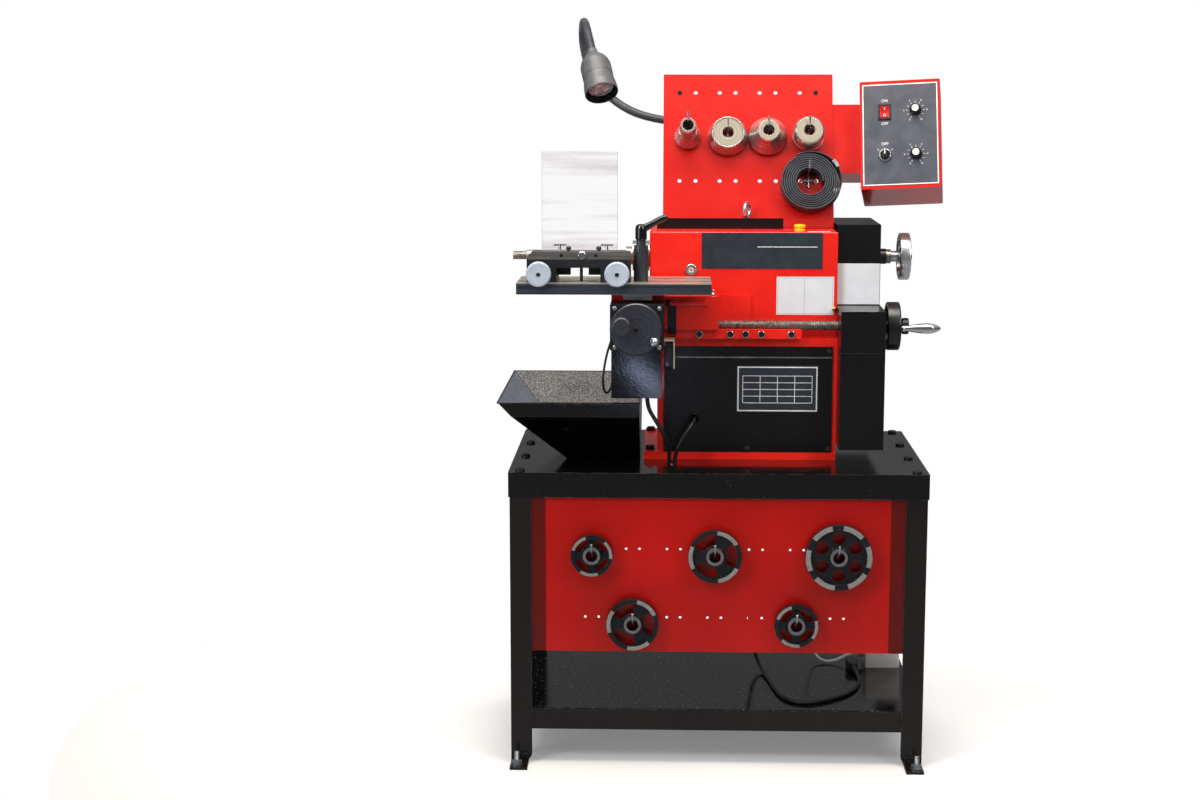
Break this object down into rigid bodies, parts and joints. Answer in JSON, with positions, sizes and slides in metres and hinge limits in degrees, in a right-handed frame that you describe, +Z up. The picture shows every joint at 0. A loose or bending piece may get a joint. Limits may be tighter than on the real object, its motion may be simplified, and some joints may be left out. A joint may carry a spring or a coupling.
{
  "type": "bench brake lathe",
  "caption": "Brake lathe on a steel bench: red headstock with arbor, screw-fed carriage, twin cutter with clear shield, chip hopper, tool board, lamp and control box.",
  "frame": {"origin": "on the floor, under the middle of the whole machine's outline", "axes": "+X to the operator's right along the spindle, +Y from the operator to the back, +Z up"},
  "size_m": [0.9899, 0.666, 1.618],
  "materials": {
    "black_frame": "satin black paint",
    "red_panel": "gloss red paint",
    "red_casting": "red enamel on a rough casting",
    "black_sheet": "fine wrinkle black paint",
    "grey_speckle": "speckled black coat",
    "zinc": "zinc plated",
    "steel": "machined",
    "chrome": "polished",
    "black_iron": "black oxide with machined lands",
    "silver_wheel": "turned",
    "black_plastic": "moulded",
    "gloss_black": "moulded",
    "red_plastic": "moulded",
    "white_plastic": "moulded",
    "yellow_cap": "moulded",
    "clear_acrylic": "clear sheet",
    "lens_glass": "clear lens",
    "grey_lamp": "grey anodised",
    "rubber": "moulded",
    "belt_rubber": "woven faced",
    "motor_grey": "grey paint"
  },
  "bodies": {
    "stand": {"bench_top": "black_frame", "bench_frame": "black_frame", "bench_shelf": "grey_speckle", "bench_panel": "red_panel", "anchor_feet": "black_frame", "bench_bolts": "zinc", "tool_hooks": "zinc", "drum_adapters": "black_iron", "chip_hopper": "grey_speckle", "headstock_casting": "red_casting", "front_panel": "black_sheet", "cover_screws": "black_plastic", "upper_belt_cover": "black_sheet", "lower_belt_cover": "black_sheet", "spindle_bearings": "steel", "main_motor": "motor_grey", "drive_belt": "rubber", "oil_cap": "yellow_cap", "sight_glass": "lens_glass", "lifting_eye": "zinc", "board_bracket": "black_sheet", "tool_board": "red_panel", "centering_cones": "steel", "silencer_belt": "belt_rubber", "lamp_arm": "black_plastic", "control_box": "red_panel", "panel_cable": "rubber", "power_box": "white_plastic", "control_cable": "white_plastic", "mains_lead": "rubber"},
    "spindle": {"spindle": "steel", "arbor": "steel", "spindle_pulley": "black_iron"},
    "draw_wheel": {"draw_wheel": "silver_wheel"},
    "motor_pulley": {"motor_pulley": "black_iron"},
    "lead_screw": {"lead_screw": "steel", "feed_wheel": "gloss_black"},
    "feed_handle": {"feed_handle": "chrome"},
    "carriage": {"saddle": "red_casting", "gib_strip": "red_casting", "carriage_screws": "zinc", "feed_gearbox": "black_sheet", "limit_switch": "gloss_black", "feed_cables": "rubber"},
    "cross_disc": {"cross_disc": "black_plastic"},
    "cross_slide": {"t_slot_table": "steel", "twin_cutter": "black_iron", "clamp_post": "steel", "chip_shield": "clear_acrylic"},
    "dial_left": {"cutter_dial_left": "white_plastic"},
    "dial_right": {"cutter_dial_right": "white_plastic"},
    "holder_left": {"tool_holder_left": "steel"},
    "holder_right": {"tool_holder_right": "steel"},
    "clamp_lever": {"clamp_lever": "gloss_black"},
    "lamp": {"lamp_head": "grey_lamp", "lamp_lens": "lens_glass"},
    "power_rocker": {"power_rocker": "red_plastic"},
    "speed_knob": {"speed_knob": "gloss_black"},
    "feed_selector": {"feed_selector": "black_plastic"},
    "feed_rate_knob": {"feed_rate_knob": "gloss_black"}
  },
  "joints": [
    {"name": "spindle_turn", "type": "hinge", "parent": "stand", "child": "spindle", "pos_m": [-0.02, 0.072, 1.085], "axis": [1, 0, 0], "continuous": true},
    {"name": "motor_turn", "type": "hinge", "parent": "stand", "child": "motor_pulley", "pos_m": [-0.02, 0.072, 0.79], "axis": [1, 0, 0], "continuous": true},
    {"name": "draw_wheel_turn", "type": "hinge", "parent": "spindle", "child": "draw_wheel", "pos_m": [-0.02, 0.072, 1.085], "axis": [1, 0, 0], "continuous": true},
    {"name": "lead_screw_turn", "type": "hinge", "parent": "stand", "child": "lead_screw", "pos_m": [-0.02, -0.081, 0.945], "axis": [1, 0, 0], "range_deg": [-5400, 8640]},
    {"name": "feed_handle_spin", "type": "hinge", "parent": "lead_screw", "child": "feed_handle", "pos_m": [0.42, -0.125, 0.945], "axis": [1, 0, 0], "continuous": true},
    {"name": "carriage_feed", "type": "slide", "parent": "stand", "child": "carriage", "axis": [1, 0, 0], "range_m": [-0.12, 0.075], "deforming": ["feed_cables"]},
    {"name": "cross_disc_turn", "type": "hinge", "parent": "carriage", "child": "cross_disc", "pos_m": [-0.196, -0.293, 0.961], "axis": [0, 1, 0], "range_deg": [-4500, 3150]},
    {"name": "cross_slide_feed", "type": "slide", "parent": "carriage", "child": "cross_slide", "axis": [0, 1, 0], "range_m": [-0.05, 0.035]},
    {"name": "dial_left_turn", "type": "hinge", "parent": "cross_slide", "child": "dial_left", "pos_m": [-0.4008, -0.286, 1.0754], "axis": [0, 1, 0], "range_deg": [-720, 990]},
    {"name": "tool_left_feed", "type": "slide", "parent": "cross_slide", "child": "holder_left", "axis": [1, 0, 0], "range_m": [-0.008, 0.011]},
    {"name": "dial_right_turn", "type": "hinge", "parent": "cross_slide", "child": "dial_right", "pos_m": [-0.2362, -0.286, 1.0754], "axis": [0, 1, 0], "range_deg": [-720, 990]},
    {"name": "tool_right_feed", "type": "slide", "parent": "cross_slide", "child": "holder_right", "axis": [-1, 0, 0], "range_m": [-0.008, 0.011]},
    {"name": "clamp_lever_turn", "type": "hinge", "parent": "cross_slide", "child": "clamp_lever", "pos_m": [-0.187, -0.216, 1.15], "axis": [0, 0, 1], "range_deg": [-60, 60]},
    {"name": "lamp_tilt", "type": "hinge", "parent": "stand", "child": "lamp", "pos_m": [-0.31602, 0.09964, 1.59784], "axis": [1, 0, 0], "range_deg": [-25, 25], "deforming": ["lamp_arm"]},
    {"name": "power_rocker_tip", "type": "hinge", "parent": "stand", "child": "power_rocker", "pos_m": [0.35238, 0.08274, 1.40651], "axis": [0.9888, -0.1414, 0.0487], "range_deg": [-14, 0]},
    {"name": "speed_knob_turn", "type": "hinge", "parent": "stand", "child": "speed_knob", "pos_m": [0.41962, 0.07377, 1.41171], "axis": [-0.1495, -0.9349, 0.3219], "range_deg": [-150, 150]},
    {"name": "feed_selector_turn", "type": "hinge", "parent": "stand", "child": "feed_selector", "pos_m": [0.35238, 0.05034, 1.31243], "axis": [-0.1495, -0.9349, 0.3219], "range_deg": [-60, 60]},
    {"name": "feed_rate_knob_turn", "type": "hinge", "parent": "stand", "child": "feed_rate_knob", "pos_m": [0.41962, 0.04073, 1.31574], "axis": [-0.1495, -0.9349, 0.3219], "range_deg": [-150, 150]}
  ],
  "couplings": [
    {"joint": "motor_turn", "follows": "spindle_turn", "ratio": 2.1905},
    {"joint": "lead_screw_turn", "follows": "carriage_feed", "rad_per_m": -1256.6},
    {"joint": "cross_disc_turn", "follows": "cross_slide_feed", "rad_per_m": 1570.8},
    {"joint": "dial_left_turn", "follows": "tool_left_feed", "rad_per_m": 1570.8},
    {"joint": "dial_right_turn", "follows": "tool_right_feed", "rad_per_m": 1570.8}
  ]
}
